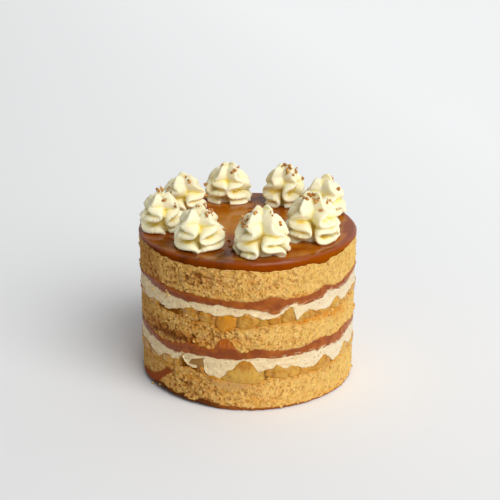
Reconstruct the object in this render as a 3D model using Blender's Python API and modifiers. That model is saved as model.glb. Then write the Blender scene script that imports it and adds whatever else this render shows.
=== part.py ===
"""A tall round naked cake: three sponges, two fillings of apple, cream and caramel,
a caramel glaze over the top and a ring of piped cream rosettes with caramel crumbs.

Metres, +Z up. The origin is the middle of the flat underside. An azimuth is in degrees,
0 at the front (-Y) and positive towards +X.
"""

import math
import random

import bmesh
import bpy

MM = 0.001

# Round body
RADIUS_AT_BASE = 75.3 * MM
RADIUS_AT_TOP = 75.9 * MM
TOP_LEVEL = 106.5 * MM
NEIGHBOUR_GAP = 0.3 * MM
THINNEST_LAYER = 1.3 * MM
STEPS_AROUND = 112
BASE_CHAMFER = 1.2 * MM
SIDE_WAVE = 0.22 * MM
BACK_SPREAD = 1.28  # the front's bumps, turned to the back, are this much further apart

# Boundaries between the layers, bottom to top: mean level in mm, then its bumps as
# (azimuth, height in mm, half width in degrees)
BOUNDARIES = {
    "apple_lower": (
        23.2,
        [(-51.5, 1.7, 16), (-32, 3.4, 9), (0, -2.8, 13.5), (11, 1.5, 5), (64, 2.2, 14)],
    ),
    "cream_lower": (
        29.2,
        [(-70, 2.5, 5), (-56, -2.4, 5.5), (-47, 3.4, 5), (-36.5, 5.7, 2.5), (-31, -0.6, 3.5),
         (-24, 3, 2.5), (-16.5, 3.5, 4), (-15.5, -9, 8), (-10.5, 3.2, 2), (-1.5, 9, 8),
         (5.5, -4.2, 2.5), (15.5, 3.2, 3), (23, 2.1, 3), (38.5, -4.8, 8), (42.5, 8.3, 5.5),
         (53.5, -4.4, 8), (62, 5.5, 4.5)],
    ),
    "caramel_lower": (
        38.4,
        [(-43, -2.7, 10), (-11.5, -0.5, 11.5), (3, 0.9, 5.5), (33.5, 0.9, 3), (38.5, -0.9, 4.5),
         (55, -1.4, 4.5), (71, 2.3, 8)],
    ),
    "sponge_middle": (
        44.0,
        [(-63, 1.7, 5), (-51, -3.1, 11), (-29.5, 1.8, 4.5), (-18, -1.4, 2), (-11, 9, 5.5),
         (-2.5, -9, 6.5), (-1, 6.8, 8), (23.5, -0.7, 10.5), (41, 2.4, 6.5), (63, 2.5, 7.5)],
    ),
    "apple_upper": (
        64.2,
        [(-62.5, 0.7, 14), (-30, -1.7, 8), (-13, -4.8, 3.5), (-4, -3.6, 14), (31.5, -1.2, 14),
         (53.5, -1, 5), (64.5, 0.8, 14)],
    ),
    "cream_upper": (
        67.8,
        [(-71, 2.1, 2.5), (-64, -1.7, 4.5), (-45.5, -2.1, 4.5), (-30, 3.9, 6.5),
         (-19.5, 1.8, 3.5), (-4.5, -6.5, 4.5), (-3.5, 9, 7), (4.5, -1.4, 9), (22, 6.8, 4.5),
         (26, -5.9, 2), (32.5, 2, 2.5), (51.5, -1.9, 10), (52.5, 5.6, 4), (71, 2.6, 7.5)],
    ),
    "caramel_upper": (
        75.9,
        [(-66.5, 3.2, 14), (-45, 0.9, 4.5), (-14.5, 0.9, 3), (7, -2, 13), (14.5, -4.5, 5),
         (31, -6.2, 7), (35.5, 5, 14), (39.5, -4, 4.5), (73, 3.3, 9)],
    ),
    "sponge_top": (
        80.2,
        [(-55.5, 3.4, 12), (-30.5, 1.1, 7.5), (-3, -0.6, 6), (12.5, 2.5, 4.5), (30, -0.6, 13),
         (43, 3.3, 5.5), (72, 2.5, 12)],
    ),
    "caramel_glaze": (
        101.6,
        [(-66, 2.2, 17), (-12, 0.4, 8), (13, -1.3, 11), (42, -1.9, 5.5), (68, 2, 12)],
    ),
}
LAYERS = ["sponge_bottom"] + list(BOUNDARIES)

# How far each layer's face stands out from the sponges' side, and how that varies
FACE_OUT = {"apple": -0.5 * MM, "cream": -0.25 * MM, "caramel": 0.3 * MM, "sponge": 0.0}
APPLE_LUMP = 0.9 * MM
APPLE_LUMPS_AROUND = 29

# Glaze rim
RIM_BULGE = 0.35 * MM
RIM_ROUND = 3.4 * MM

# Piped rosettes: centre x and y, width, height (mm), azimuth of the widest cleft, lobes
ROSETTES = {
    "rosette_front_left": (-32.3, -41.5, 36.0, 28.5, 4, 5),
    "rosette_front_middle": (9.5, -53.0, 39.0, 31.5, -3, 6),
    "rosette_right": (43.6, -24.5, 39.5, 32.0, 0, 6),
    "rosette_right_back": (54.5, 27.0, 33.0, 27.5, -20, 5),
    "rosette_back_right": (26.5, 50.5, 34.0, 29.5, -8, 6),
    "rosette_back_middle": (-14.5, 59.5, 36.0, 28.0, -4, 6),
    "rosette_left_back": (-46.5, 38.0, 33.0, 26.5, 10, 5),
    "rosette_left": (-59.5, -6.5, 32.0, 27.5, 12, 5),
}
POINTS_PER_LOBE = 6
# Radius and height of the piping at each level, as shares of its own
PIPING = [
    (0.84, 0.0), (0.98, 0.03), (1.0, 0.11), (0.94, 0.20), (0.86, 0.27), (0.98, 0.36),
    (0.86, 0.45), (0.94, 0.55), (0.85, 0.67), (0.69, 0.80), (0.48, 0.92), (0.28, 1.0),
]
CENTRE_HOLLOW = 0.78
GROOVE_DEPTH = 0.44
CLEFT_DEPTH = 0.26
CLEFT_WIDTH = 24.0
SWAY = 9.0  # degrees, sideways, of the ruffles
SWAYS_PER_HEIGHT = 3.4
SWAY_ENDS = 0.66  # share of the height where the lobes run straight

# Caramel crumbs
CRUMB_SIZES = (1.5 * MM, 1.05 * MM)  # half widths, largest first
CRUMB_SINK = 0.35
CRUMBS_ON_ROSETTE = 3
CRUMBS_IN_HEAP = 5
HEAPED = "rosette_front_left"
HEAP_CRUMB = 2.2 * MM
# On the glaze: azimuth and radius (mm), in the gaps between the rosettes
GLAZE_CRUMBS = [(-14, 51), (-10, 41), (178, 40), (163, 37), (38, 44), (95, 33), (-100, 30), (-62, 62)]

# Colour (linear RGB), roughness of each material
FINISHES = {
    "sponge": ((0.60, 0.37, 0.13), 0.9),
    "apple": ((0.50, 0.27, 0.04), 0.25),
    "cream": ((0.74, 0.55, 0.32), 0.6),
    "caramel": ((0.36, 0.13, 0.025), 0.35),
    "glaze": ((0.28, 0.085, 0.008), 0.12),
    "buttercream": ((0.90, 0.85, 0.68), 0.45),
}


def finish(name):
    colour, roughness = FINISHES[name]
    material = bpy.data.materials.get(name) or bpy.data.materials.new(name)
    material.use_nodes = True
    shader = material.node_tree.nodes["Principled BSDF"]
    shader.inputs["Base Color"].default_value = (*colour, 1.0)
    shader.inputs["Roughness"].default_value = roughness
    shader.inputs["Metallic"].default_value = 0.0
    return material


def turned(name, profile, steps, place, collection):
    """A profile of (radius, level) shares turned about Z, with each point then moved by
    place(angle, radius, level)."""
    mesh = bpy.data.meshes.new(name)
    count = len(profile)
    mesh.from_pydata([(r, 0.0, z) for r, z in profile], [(i, i + 1) for i in range(count - 1)], [])
    obj = bpy.data.objects.new(name, mesh)
    collection.objects.link(obj)
    screw = obj.modifiers.new("turn", "SCREW")
    screw.steps = steps
    screw.render_steps = steps
    screw.use_merge_vertices = True
    screw.merge_threshold = 0.0001
    obj = applied(obj, collection)
    for vertex in obj.data.vertices:
        x, y, z = vertex.co
        vertex.co = place(math.atan2(y, x), math.hypot(x, y), z)
    return obj


def applied(obj, collection):
    """The object as a plain mesh, with its modifiers in it."""
    graph = bpy.context.evaluated_depsgraph_get()
    mesh = bpy.data.meshes.new_from_object(obj.evaluated_get(graph))
    name = obj.name
    placed = obj.matrix_world.copy()
    bpy.data.objects.remove(obj)
    made = bpy.data.objects.new(name, mesh)
    made.matrix_world = placed
    collection.objects.link(made)
    return made


def fused(obj, pieces, collection):
    """The object with the pieces joined on."""
    helpers = bpy.data.collections.new("joined_pieces")
    bpy.context.scene.collection.children.link(helpers)
    for piece in pieces:
        helpers.objects.link(piece)
    union = obj.modifiers.new("join", "BOOLEAN")
    union.operation = "UNION"
    union.operand_type = "COLLECTION"
    union.collection = helpers
    union.solver = "EXACT"
    bpy.context.view_layer.update()
    joined = applied(obj, collection)
    for piece in pieces:
        bpy.data.objects.remove(piece)
    bpy.data.collections.remove(helpers)
    return joined


def crumb(half_width, where, draw):
    """A rough nugget at a point."""
    mesh = bpy.data.meshes.new("crumb")
    nugget = bmesh.new()
    bmesh.ops.create_icosphere(nugget, subdivisions=1, radius=half_width)
    spin = draw.uniform(0.0, math.pi)
    stretch = draw.uniform(0.75, 1.3)
    for vertex in nugget.verts:
        jitter = draw.uniform(0.82, 1.12)
        x, y, z = vertex.co * jitter
        x, y = x * stretch, y / stretch
        vertex.co = (
            where[0] + x * math.cos(spin) - y * math.sin(spin),
            where[1] + x * math.sin(spin) + y * math.cos(spin),
            where[2] + z * 0.8,
        )
    nugget.to_mesh(mesh)
    nugget.free()
    return bpy.data.objects.new("crumb", mesh)


def bump_sum(azimuth, bumps):
    total = 0.0
    for centre, height, half_width in bumps:
        for middle in (centre, 180.0 - BACK_SPREAD * centre):
            away = (azimuth - middle + 180.0) % 360.0 - 180.0
            total += height * math.exp(-((away / half_width) ** 2))
    return total * MM


def boundary(number, azimuth):
    """Level of the boundary under layer `number` at the side of the cake."""
    if number == 0:
        return 0.0
    if number == len(LAYERS):
        return TOP_LEVEL
    mean, bumps = BOUNDARIES[LAYERS[number]]
    level = mean * MM + bump_sum(azimuth, bumps)
    return max(level, boundary(number - 1, azimuth) + THINNEST_LAYER)


def boundary_at(number, azimuth, share):
    """The same boundary at a share of the radius: level at the centre, waved at the side."""
    middle = 0.0 if number == 0 else TOP_LEVEL
    if 0 < number < len(LAYERS):
        middle = BOUNDARIES[LAYERS[number]][0] * MM
    return middle + (boundary(number, azimuth) - middle) * share


def side_radius(azimuth, level):
    """Radius of the trimmed side: nearly straight, with slow waves around."""
    turn = math.radians(azimuth)
    slope = (RADIUS_AT_TOP - RADIUS_AT_BASE) / TOP_LEVEL
    wave = math.sin(3 * turn + 0.7) + 0.7 * math.sin(5 * turn + 60 * level + 2.0)
    return RADIUS_AT_BASE + slope * level + SIDE_WAVE * wave


def face_out(layer, azimuth, share_up):
    """How far a layer's face stands out of the side."""
    out = FACE_OUT[layer.split("_")[0]]
    if layer.startswith("apple"):
        turn = math.radians(azimuth)
        lump = math.sin(APPLE_LUMPS_AROUND * turn + 2.0 * math.sin(4 * turn))
        out += APPLE_LUMP * lump * math.sin(math.pi * share_up)
    elif not layer.startswith("sponge"):
        out *= math.sin(math.pi * share_up)
    return out


def layer_solid(number, collection):
    layer = LAYERS[number]
    # Shares: radius 1 is the side, level 0 the underside and 1 the upper face
    sides = [1.0, 0.5, 0.0] if layer.startswith("apple") else [1.0, 0.0]
    profile = [(0.0, 1.0)] + [(1.0, level) for level in sides] + [(0.0, 0.0)]
    if number == 0:
        chamfer = BASE_CHAMFER / RADIUS_AT_BASE
        profile = [(0.0, 1.0), (1.0, 1.0), (1.0, 0.07), (1.0 - chamfer, 0.0), (0.0, 0.0)]

    def place(angle, share, share_up):
        azimuth = math.degrees(angle) + 90.0
        low = boundary_at(number, azimuth, share)
        high = boundary_at(number + 1, azimuth, share)
        low += 0.5 * NEIGHBOUR_GAP if number else 0.0
        high -= 0.5 * NEIGHBOUR_GAP
        level = low + (high - low) * share_up
        radius = share * (side_radius(azimuth, level) + face_out(layer, azimuth, share_up))
        return radius * math.cos(angle), radius * math.sin(angle), level

    return turned(layer, profile, STEPS_AROUND, place, collection)


def glaze_solid(collection):
    """The poured glaze: a flat top, a rounded rim and an edge that stops on the top sponge."""
    number = len(LAYERS) - 1
    # Level 0 is the wavy lower edge and 1 the flat top; the inset is in metres
    rim = [(RIM_ROUND, 1.0), (0.32 * RIM_ROUND, 0.93), (0.0, 0.74), (-RIM_BULGE, 0.4), (0.0, 0.0)]
    profile = [(0.0, 1.0)]
    profile += [(1.0 - inset / RADIUS_AT_TOP, level) for inset, level in rim]
    profile += [(0.0, 0.0)]

    def place(angle, share, share_up):
        azimuth = math.degrees(angle) + 90.0
        low = boundary_at(number, azimuth, min(share, 1.0)) + 0.5 * NEIGHBOUR_GAP
        level = low + (TOP_LEVEL - low) * share_up
        radius = share * side_radius(azimuth, level)
        return radius * math.cos(angle), radius * math.sin(angle), level

    glaze = turned("caramel_glaze", profile, STEPS_AROUND, place, collection)
    draw = random.Random(41)
    crumbs = []
    for count, (azimuth, radius) in enumerate(GLAZE_CRUMBS):
        size = CRUMB_SIZES[count % 2]
        turn = math.radians(azimuth)
        where = (radius * MM * math.sin(turn), -radius * MM * math.cos(turn), TOP_LEVEL + 0.3 * size)
        crumbs.append(crumb(size, where, draw))
    return fused(glaze, crumbs, collection)


def piping_point(angle, share, share_up, width, height, cleft, lobes, phase):
    """A point of a piped rosette, in its own frame. The lobes are rounded ridges between
    sharp grooves, they sway from side to side in the lower part like stacked ruffles, and
    they end in separate points round a hollow."""
    lobe_turn = 2 * math.pi / lobes
    cleft_angle = math.radians(cleft - 90.0)
    from_cleft = (angle - cleft_angle) % (2 * math.pi)
    lobe = math.floor(from_cleft / lobe_turn + 1e-6)
    across = 2 * (from_cleft / lobe_turn - lobe) - 1  # -1 and 1 in the grooves, 0 on the ridge
    ridge = 1 - abs(across) ** 2.2
    fade = max(0.0, 1 - share_up / SWAY_ENDS) ** 0.5
    groove = GROOVE_DEPTH * (1.0 - 0.25 * fade)
    radius = share * (1 - groove * (1 - ridge))
    away = math.degrees((from_cleft + math.pi) % (2 * math.pi) - math.pi)
    radius *= 1 - CLEFT_DEPTH * math.exp(-((away / CLEFT_WIDTH) ** 2))
    radius *= 1 + 0.05 * math.sin(2.1 * lobe + phase)
    sway = math.radians(SWAY) * fade * math.sin(
        2 * math.pi * SWAYS_PER_HEIGHT * share_up + phase + 2.2 * from_cleft
    )
    tip = 1 - 0.17 * (1 - ridge) * share_up ** 3 - 0.1 * (0.5 + 0.5 * math.sin(1.9 * lobe + phase)) * share_up
    tip -= 0.1 * share_up ** 2 * math.exp(-((away / 40.0) ** 2))
    where = angle + sway
    reach = 0.5 * width * radius
    return reach * math.cos(where), reach * math.sin(where), height * share_up * tip


def rosette_solid(name, number, collection):
    x, y, width, height, cleft, lobes = ROSETTES[name]
    width *= MM
    height *= MM
    phase = 1.7 * number

    def place(angle, share, share_up):
        if share < 1e-4:
            return 0.0, 0.0, height * share_up
        return piping_point(angle, share, share_up, width, height, cleft, lobes, phase)

    profile = [(0.0, CENTRE_HOLLOW)] + PIPING[::-1] + [(0.0, 0.0)]
    rosette = turned(name, profile, POINTS_PER_LOBE * lobes, place, collection)

    draw = random.Random(100 + number)
    crumbs = []
    if name == HEAPED:
        for count in range(CRUMBS_IN_HEAP):
            turn = 2.4 * count
            off = 1.4 * MM * math.sqrt(count)
            top = height * (CENTRE_HOLLOW + 0.07)
            where = (off * math.cos(turn), off * math.sin(turn), top)
            crumbs.append(crumb(HEAP_CRUMB * (1 - 0.08 * count), where, draw))
    for count in range(CRUMBS_ON_ROSETTE):
        share, share_up = PIPING[8 + count % 2]
        turn = draw.uniform(-2.6, -0.5)
        size = CRUMB_SIZES[count % 2]
        px, py, pz = piping_point(turn, share, share_up, width, height, cleft, lobes, phase)
        keep = 1 - CRUMB_SINK * size / math.hypot(px, py)
        crumbs.append(crumb(size, (px * keep, py * keep, pz), draw))
    rosette = fused(rosette, crumbs, collection)
    rosette.location = (x * MM, y * MM, TOP_LEVEL + NEIGHBOUR_GAP)
    return rosette


def main():
    for obj in list(bpy.data.objects):
        bpy.data.objects.remove(obj)
    cake = bpy.data.collections.new("naked_cake")
    bpy.context.scene.collection.children.link(cake)
    centre = bpy.data.objects.new("cake_centre", None)
    cake.objects.link(centre)

    solids = []
    for number, layer in enumerate(LAYERS[:-1]):
        solids.append((layer_solid(number, cake), layer.split("_")[0]))
    solids.append((glaze_solid(cake), "glaze"))
    for number, name in enumerate(ROSETTES):
        solids.append((rosette_solid(name, number, cake), "buttercream"))

    for obj, material in solids:
        obj.data.materials.clear()
        obj.data.materials.append(finish(material))
        obj.data.shade_smooth()
        obj.data.set_sharp_from_angle(angle=math.radians(40))
        obj.parent = centre


main()
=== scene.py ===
import math

import bmesh
import bpy
import numpy as np
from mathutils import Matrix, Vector
from mathutils.bvhtree import BVHTree


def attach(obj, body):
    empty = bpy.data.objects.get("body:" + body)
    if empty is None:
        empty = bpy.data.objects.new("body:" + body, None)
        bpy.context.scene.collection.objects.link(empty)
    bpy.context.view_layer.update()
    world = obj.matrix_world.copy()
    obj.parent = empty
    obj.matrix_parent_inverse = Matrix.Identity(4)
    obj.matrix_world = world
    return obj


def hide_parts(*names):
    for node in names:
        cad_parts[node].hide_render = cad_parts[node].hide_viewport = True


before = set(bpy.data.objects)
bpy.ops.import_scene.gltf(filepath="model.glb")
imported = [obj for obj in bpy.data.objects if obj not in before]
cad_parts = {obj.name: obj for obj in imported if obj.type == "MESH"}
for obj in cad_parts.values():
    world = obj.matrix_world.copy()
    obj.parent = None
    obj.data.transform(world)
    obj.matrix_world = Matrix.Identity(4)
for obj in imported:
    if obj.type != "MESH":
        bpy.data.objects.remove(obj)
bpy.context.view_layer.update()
print("frame loaded")

mm = 0.001

# Noise on arrays of points (millimetres)
cornerDirections = np.random.RandomState(11).normal(size=(1024, 3))
cornerDirections /= np.linalg.norm(cornerDirections, axis=1)[:, None]
cellJitter = np.random.RandomState(12).uniform(0.08, 0.92, size=(4096, 3))
cellNumber = np.random.RandomState(13).uniform(size=4096)


def latticeHash(cell, seed):
    # mixes the three whole coordinates of a lattice cell into one number from 0 to 4095
    mixed = cell[..., 0] * 73856093 ^ cell[..., 1] * 19349663 ^ cell[..., 2] * 83492791 ^ (seed * 961748927)
    mixed = (mixed ^ (mixed >> 15)) * 668265263
    mixed = mixed & 0x7FFFFFFFFFFF
    return ((mixed ^ (mixed >> 13)) >> 3) & 4095


def smoothNoise(points, size, seed):
    # gradient noise: each lattice corner's slope, blended by 6t^5-15t^4+10t^3, about -1 to 1
    place = points / size
    cell = np.floor(place).astype(np.int64)
    inside = place - cell
    fade = inside ** 3 * (inside * (inside * 6 - 15) + 10)
    total = np.zeros(points.shape[:-1])
    for corner in np.ndindex(2, 2, 2):
        step = np.array(corner)
        slope = cornerDirections[latticeHash(cell + step, seed) & 1023]
        weight = np.prod(np.where(step == 1, fade, 1 - fade), axis=-1)
        total += weight * np.sum(slope * (inside - step), axis=-1)
    return total * 1.5


def layeredNoise(points, size, octaves, seed):
    # smooth noise added at half the size and half the height each time
    total = np.zeros(points.shape[:-1])
    for octave in range(octaves):
        total += smoothNoise(points, size / 2 ** octave, seed + octave) / 2 ** octave
    return total


def cellPattern(points, size, seed):
    # distance to the nearest and second nearest of one jittered point for each lattice cell,
    # in cells, and the nearest one's own random number
    place = points / size
    cell = np.floor(place).astype(np.int64)
    first = np.full(points.shape[:-1], 9.0)
    second = np.full(points.shape[:-1], 9.0)
    number = np.zeros(points.shape[:-1])
    for corner in np.ndindex(3, 3, 3):
        other = cell + np.array(corner) - 1
        key = latticeHash(other, seed)
        away = np.linalg.norm(place - other - cellJitter[key], axis=-1)
        nearer = away < first
        second = np.where(nearer, first, np.minimum(second, away))
        number = np.where(nearer, cellNumber[key], number)
        first = np.where(nearer, away, first)
    return first, second, number


def smoothStep(low, high, value):
    share = np.clip((value - low) / (high - low), 0, 1)
    return share * share * (3 - 2 * share)


def bell(distance, halfWidth):
    # exp(-(d/w)^2)
    return np.exp(-(distance / halfWidth) ** 2)


def newObject(name, data):
    made = bpy.data.objects.new(name, data)
    bpy.context.scene.collection.objects.link(made)
    return made


def storeNumbers(mesh, key, values):
    mesh.attributes.new(key, "FLOAT", "POINT").data.foreach_set("value", values.astype(np.float32))


def readVectors(items, key):
    values = np.empty(len(items) * 3, np.float32)
    items.foreach_get(key, values)
    return values.reshape(-1, 3)


# Mesh from a grid of points: rows run from the lower pole to the upper, columns close round
def closedSurface(name, grid, attributes=None):
    rows, columns = grid.shape[:2]
    ring = np.arange(columns)
    after = np.roll(ring, -1)
    middle = grid[1:-1].reshape(-1, 3)
    points = np.concatenate([grid[0, :1], middle, grid[-1, :1]])
    last = len(points) - 1
    starts = 1 + np.arange(rows - 3)[:, None] * columns
    quads = np.stack([starts + ring, starts + after, starts + columns + after, starts + columns + ring], -1)
    low = np.stack([np.zeros_like(ring), 1 + after, 1 + ring], -1)
    topRow = 1 + (rows - 3) * columns
    high = np.stack([topRow + ring, topRow + after, np.full_like(ring, last)], -1)
    corners = np.concatenate([low.ravel(), quads.ravel(), high.ravel()]).astype(np.int32)
    sizes = np.concatenate([np.full(columns, 3), np.full(quads.size // 4, 4), np.full(columns, 3)])
    mesh = bpy.data.meshes.new(name)
    mesh.vertices.add(len(points))
    mesh.vertices.foreach_set("co", points.astype(np.float32).ravel())
    mesh.loops.add(len(corners))
    mesh.loops.foreach_set("vertex_index", corners)
    mesh.polygons.add(len(sizes))
    mesh.polygons.foreach_set("loop_start", (np.cumsum(sizes) - sizes).astype(np.int32))
    mesh.update(calc_edges=True)
    mesh.validate()
    mesh.shade_smooth()
    for key, values in (attributes or {}).items():
        storeNumbers(mesh, key, np.concatenate([values[0, :1], values[1:-1].ravel(), values[-1, :1]]))
    return newObject(name, mesh)


def finishPiece(piece, material, node=None):
    piece.data.materials.clear()
    piece.data.materials.append(material)
    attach(piece, "root")
    if node:
        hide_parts(node)


# Materials
def newMaterial(name, finish):
    # the plain values come straight from a dictionary
    material = bpy.data.materials.new(name)
    material.use_nodes = True
    shader = material.node_tree.nodes["Principled BSDF"]
    shader.inputs["Roughness"].default_value = finish["roughness"]
    shader.inputs["Specular IOR Level"].default_value = finish["specular"]
    for key, value in zip(("Weight", "Radius", "Scale"), finish.get("soft", ())):
        shader.inputs["Subsurface " + key].default_value = value
    return material, material.node_tree, shader


def addNode(tree, kind, values=None, **settings):
    # a value is a plain one, another node's socket, or the name of the piece's own attribute
    node = tree.nodes.new(kind)
    for key, value in settings.items():
        setattr(node, key, value)
    for key, value in (values or {}).items():
        if isinstance(value, str):
            value = addNode(tree, "ShaderNodeAttribute", attribute_name=value).outputs["Fac"]
        if isinstance(value, bpy.types.NodeSocket):
            tree.links.new(value, node.inputs[key])
        else:
            node.inputs[key].default_value = value
    return node


def colourMix(tree, share, first, second):
    first, second = [(*colour, 1) if isinstance(colour, tuple) else colour for colour in (first, second)]
    return addNode(tree, "ShaderNodeMix", {0: share, 6: first, 7: second}, data_type="RGBA").outputs[2]


def mathNode(tree, operation, first, second=0.5, clamp=False):
    node = addNode(tree, "ShaderNodeMath", {0: first, 1: second}, operation=operation, use_clamp=clamp)
    return node.outputs[0]


def times(tree, first, second, clamp=False):
    return mathNode(tree, "MULTIPLY", first, second, clamp)


def paintOver(tree, colour, *coats):
    # each coat: what masks it, how much of it shows at most, its colour
    for mask, share, coat in coats:
        colour = colourMix(tree, times(tree, mask, share), colour, coat)
    return colour


# Shader group: fine grain, the same on every food. It puts out a height, a mask of round
# specks, a mask of crooked pores where a noise is low, and slow clouds.
def makeGrainGroup():
    group = bpy.data.node_groups.new("fineGrain", "ShaderNodeTree")
    for name in ("grainSize", "speckSize", "speckShare"):
        group.interface.new_socket(name, in_out="INPUT", socket_type="NodeSocketFloat")
    for name in ("height", "specks", "pores", "clouds"):
        group.interface.new_socket(name, in_out="OUTPUT", socket_type="NodeSocketFloat")
    given = group.nodes.new("NodeGroupInput").outputs
    position = addNode(group, "ShaderNodeTexCoord").outputs["Object"]

    def texture(kind, scale, **values):
        values = {"Vector": position, "Scale": scale, **values}
        return addNode(group, "ShaderNodeTex" + kind, values).outputs

    fine = texture("Noise", mathNode(group, "DIVIDE", 1.0 / mm, given["grainSize"]), Detail=3.0)
    speckScale = mathNode(group, "DIVIDE", 1.0 / mm, given["speckSize"])
    cells = texture("Voronoi", speckScale)
    chance = addNode(group, "ShaderNodeSeparateColor", {"Color": cells["Color"]}).outputs["Red"]
    chosen = mathNode(group, "LESS_THAN", chance, given["speckShare"])
    near = mathNode(group, "SUBTRACT", 0.4, cells["Distance"])
    specks = times(group, chosen, times(group, near, 4.0, True))
    crooked = texture("Noise", speckScale, Detail=1.5)
    low = mathNode(group, "SUBTRACT", mathNode(group, "ADD", given["speckShare"], 0.13), crooked["Fac"])
    pores = times(group, low, 12.0, True)
    clouds = texture("Noise", 90.0, Detail=4.0)
    results = group.nodes.new("NodeGroupOutput").inputs
    made = {"height": fine["Fac"], "specks": specks, "pores": pores, "clouds": clouds["Fac"]}
    for name, socket in made.items():
        group.links.new(socket, results[name])
    return group


grainGroup = makeGrainGroup()


def grainedMaterial(name, finish):
    # with the grain group: its sizes of grain and specks in millimetres, and the specks' share
    material, tree, shader = newMaterial(name, finish)
    values = dict(zip(("grainSize", "speckSize", "speckShare"), finish["grain"]))
    return material, tree, shader, addNode(tree, "ShaderNodeGroup", values, node_tree=grainGroup).outputs


def unevenTone(tree, grain, strength):
    # the piece's own tone, made uneven by the grain
    uneven = mathNode(tree, "SUBTRACT", grain["height"], 0.5)
    return mathNode(tree, "ADD", "tone", times(tree, uneven, strength))


def feedShader(tree, shader, finish, height, sockets):
    # the bump has a strength and a depth in metres
    strength, depth = finish["bump"]
    bump = addNode(tree, "ShaderNodeBump", {"Height": height, "Strength": strength, "Distance": depth})
    for key, socket in {**sockets, "Normal": bump.outputs["Normal"]}.items():
        tree.links.new(socket, shader.inputs[key])


# The round body in millimetres: its sizes, and the boundaries between the layers, much as the
# solids have them, each a mean level and bumps of (azimuth, height, half width in degrees)
cake = {
    "radiusAtBase": 75.3,
    "radiusAtTop": 75.9,
    "topLevel": 106.5,
    "thinnestLayer": 1.3,
    "gap": 0.3,
    "tuck": 0.12,
    "capShares": (0.0, 0.6, 0.93, 0.975, 0.992),
    "rowsToEdges": 0.25,
    "footPower": 14,
    "backSpread": 1.28,
    "sideWave": 0.22,
    "columns": 1160,
    "boundaries": {
        "apple_lower": (23.2, [
            (-51.5, 1.7, 16), (-32, 3.4, 9), (0, -2.8, 13.5), (11, 1.5, 5), (64, 2.2, 14),
        ]),
        "cream_lower": (29.2, [
            (-70, 2.5, 5), (-56, -2.4, 5.5), (-47, 3.4, 5), (-36.5, 5.7, 2.5), (-31, -0.6, 3.5),
            (-24, 3, 2.5), (-16.5, 3.5, 4), (-15.5, -9, 8), (-10.5, 3.2, 2), (-1.5, 9, 8),
            (5.5, -4.2, 2.5), (15.5, 3.2, 3), (23, 2.1, 3), (38.5, -4.8, 8), (42.5, 8.3, 5.5),
            (53.5, -4.4, 8), (62, 5.5, 4.5),
        ]),
        "caramel_lower": (38.4, [
            (-43, -2.7, 10), (-11.5, -0.5, 11.5), (3, 0.9, 5.5), (33.5, 0.9, 3), (38.5, -0.9, 4.5),
            (55, -1.4, 4.5), (71, 2.3, 8),
        ]),
        "sponge_middle": (44.0, [
            (-63, 1.7, 5), (-51, -3.1, 11), (-29.5, 1.8, 4.5), (-18, -1.4, 2), (-11, 9, 5.5),
            (-2.5, -9, 6.5), (-1, 6.8, 8), (23.5, -0.7, 10.5), (41, 2.4, 6.5), (63, 2.5, 7.5),
        ]),
        "apple_upper": (64.2, [
            (-62.5, 0.7, 14), (-30, -1.7, 8), (-13, -4.8, 3.5), (-4, -3.6, 14), (31.5, -1.2, 14),
            (53.5, -1, 5), (64.5, 0.8, 14),
        ]),
        "cream_upper": (67.8, [
            (-71, 2.1, 2.5), (-64, -1.7, 4.5), (-45.5, -2.1, 4.5), (-30, 3.9, 6.5), (-19.5, 1.8, 3.5),
            (-4.5, -6.5, 4.5), (-3.5, 9, 7), (4.5, -1.4, 9), (22, 6.8, 4.5), (25.3, -7.2, 1.5),
            (27.5, -1.5, 1.8), (32.5, 2, 2.5), (51.5, -1.9, 10), (52.5, 5.6, 4), (71, 2.6, 7.5),
        ]),
        "caramel_upper": (75.9, [
            (-66.5, 3.2, 14), (-45, 0.9, 4.5), (-14.5, 0.9, 3), (7, -2, 13), (14.5, -4.5, 5),
            (31, -6.2, 7), (35.5, 5, 14), (39.5, -4, 4.5), (73, 3.3, 9),
        ]),
        "sponge_top": (80.2, [
            (-55.5, 3.4, 12), (-30.5, 1.1, 7.5), (-3, -0.6, 6), (12.5, 2.5, 4.5), (30, -0.6, 13),
            (43, 3.3, 5.5), (72, 2.5, 12),
        ]),
        "caramel_glaze": (101.6, [
            (-66, 2.2, 17), (-12, 0.4, 8), (13, -1.3, 11), (42, -1.9, 5.5), (68, 2, 12),
        ]),
    },
    # how ragged each boundary is, in millimetres
    "ragged": {"apple_lower": 0.9, "cream_lower": 1.1, "caramel_lower": 0.55, "sponge_middle": 0.8,
               "apple_upper": 0.8, "cream_upper": 0.9, "caramel_upper": 0.75, "sponge_top": 0.6,
               "caramel_glaze": 0.8},
}
layerNames = ["sponge_bottom"] + list(cake["boundaries"])
azimuths = np.arange(cake["columns"]) * 360.0 / cake["columns"]


def onSide(azimuth, level, radius=75.5):
    # points of a cylinder, in millimetres
    turn = np.radians(azimuth)
    return np.stack(np.broadcast_arrays(radius * np.sin(turn), -radius * np.cos(turn), level), -1)


def angleAway(azimuth, middle):
    return (azimuth - middle + 180) % 360 - 180


def along(points, azimuth):
    return np.interp(angleAway(azimuth, 0), *np.array(points).T)


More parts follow.
